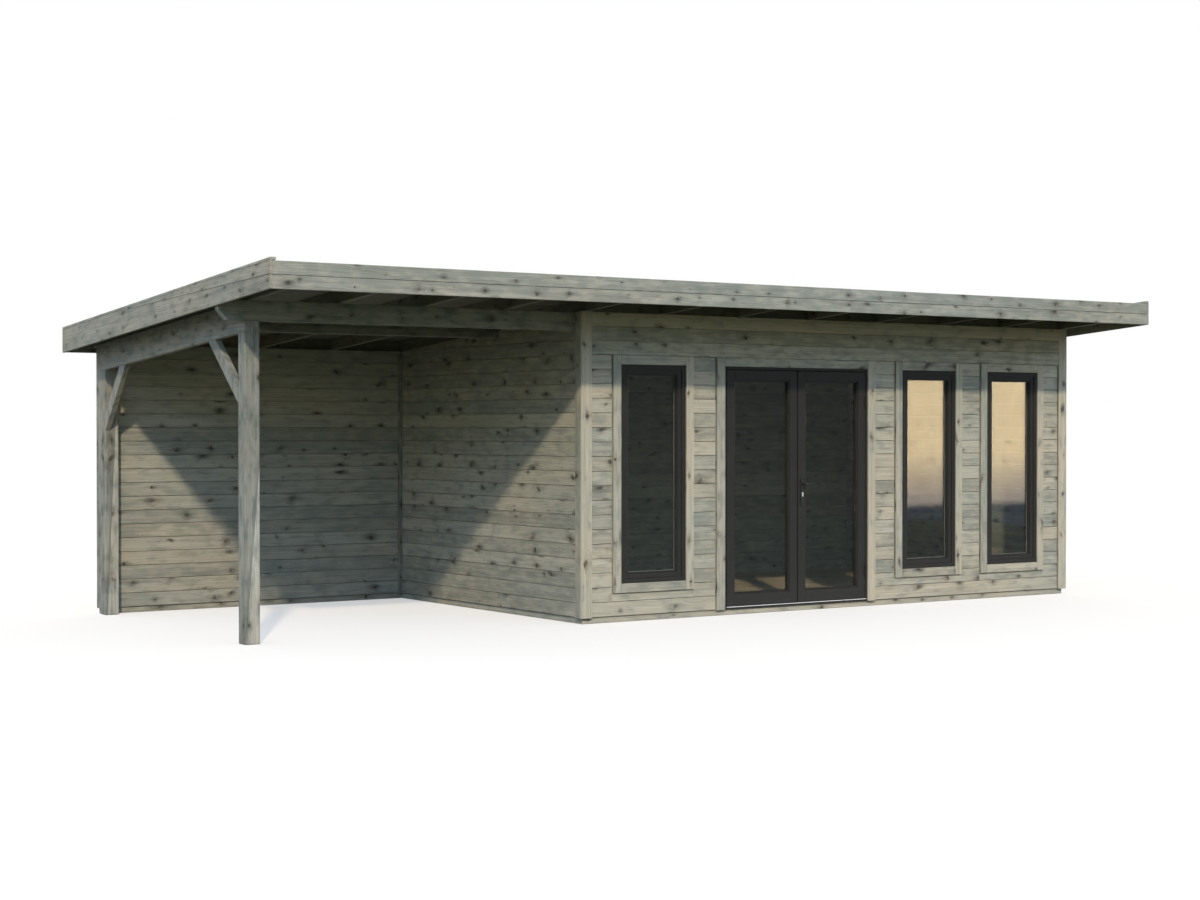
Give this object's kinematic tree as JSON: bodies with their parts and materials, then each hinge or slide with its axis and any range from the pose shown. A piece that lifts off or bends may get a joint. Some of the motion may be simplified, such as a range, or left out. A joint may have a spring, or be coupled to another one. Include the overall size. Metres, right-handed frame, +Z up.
{
  "type": "timber garden room with covered terrace",
  "caption": "Timber garden room with a pent roof, glazed double doors, tall fixed windows and an open covered terrace carried on posts with knee braces.",
  "frame": {"origin": "on the ground under the middle of the roof", "axes": "+X along the front to the right, +Y from the front to the back, +Z up"},
  "size_m": [8.54, 4.03, 2.6582],
  "materials": {
    "treated_timber": "weathered grey-green softwood",
    "floor_timber": "bare planed softwood",
    "dark_joinery": "satin anthracite paint",
    "glazing": "clear double glazing",
    "threshold_metal": "plain anodised",
    "hinge_metal": "dark satin",
    "handle_metal": "dark satin",
    "lock_metal": "bright nickel",
    "roofing_felt": "mineral felt"
  },
  "bodies": {
    "building": {"long_sills": "treated_timber", "side_sills": "treated_timber", "floor_joists": "treated_timber", "floor_boards": "floor_timber", "front_wall_left": "treated_timber", "front_wall_right": "treated_timber", "front_wall_over_door": "treated_timber", "left_wall": "treated_timber", "right_wall": "treated_timber", "back_wall": "treated_timber", "terrace_back_wall": "treated_timber", "header_boards": "treated_timber", "front_corner_trims": "treated_timber", "back_corner_trim": "treated_timber", "terrace_end_trim": "treated_timber", "inner_corner_lath": "treated_timber", "left_window_frame": "dark_joinery", "middle_window_frame": "dark_joinery", "right_window_frame": "dark_joinery", "left_window_pane": "glazing", "middle_window_pane": "glazing", "right_window_pane": "glazing", "window_casings": "treated_timber", "door_casing": "treated_timber", "door_frame": "dark_joinery", "door_threshold": "threshold_metal", "frame_hinges": "hinge_metal", "front_post": "treated_timber", "back_post": "treated_timber", "front_beam": "treated_timber", "side_beam": "treated_timber", "mid_purlin": "treated_timber", "knee_braces": "treated_timber", "rafters": "treated_timber", "eaves_blocking": "treated_timber", "roof_deck": "treated_timber", "roof_felt": "roofing_felt", "front_fascia_lower": "treated_timber", "front_fascia_upper": "treated_timber", "back_fascia": "treated_timber", "left_fascia_lower": "treated_timber", "left_fascia_upper": "treated_timber", "right_fascia_lower": "treated_timber", "right_fascia_upper": "treated_timber", "edge_strips": "treated_timber"},
    "left_leaf": {"left_door_leaf": "dark_joinery", "left_door_pane": "glazing", "left_door_hinges": "hinge_metal"},
    "right_leaf": {"right_door_leaf": "dark_joinery", "right_door_pane": "glazing", "right_door_hinges": "hinge_metal", "door_handles": "handle_metal", "lock_cylinder": "lock_metal"}
  },
  "joints": [
    {"name": "left_leaf_hinge", "type": "hinge", "parent": "building", "child": "left_leaf", "pos_m": [0.1473, -1.211, 1], "axis": [0, 0, -1], "range_deg": [0, 110]},
    {"name": "right_leaf_hinge", "type": "hinge", "parent": "building", "child": "right_leaf", "pos_m": [1.6413, -1.211, 1], "axis": [0, 0, 1], "range_deg": [0, 110]}
  ]
}
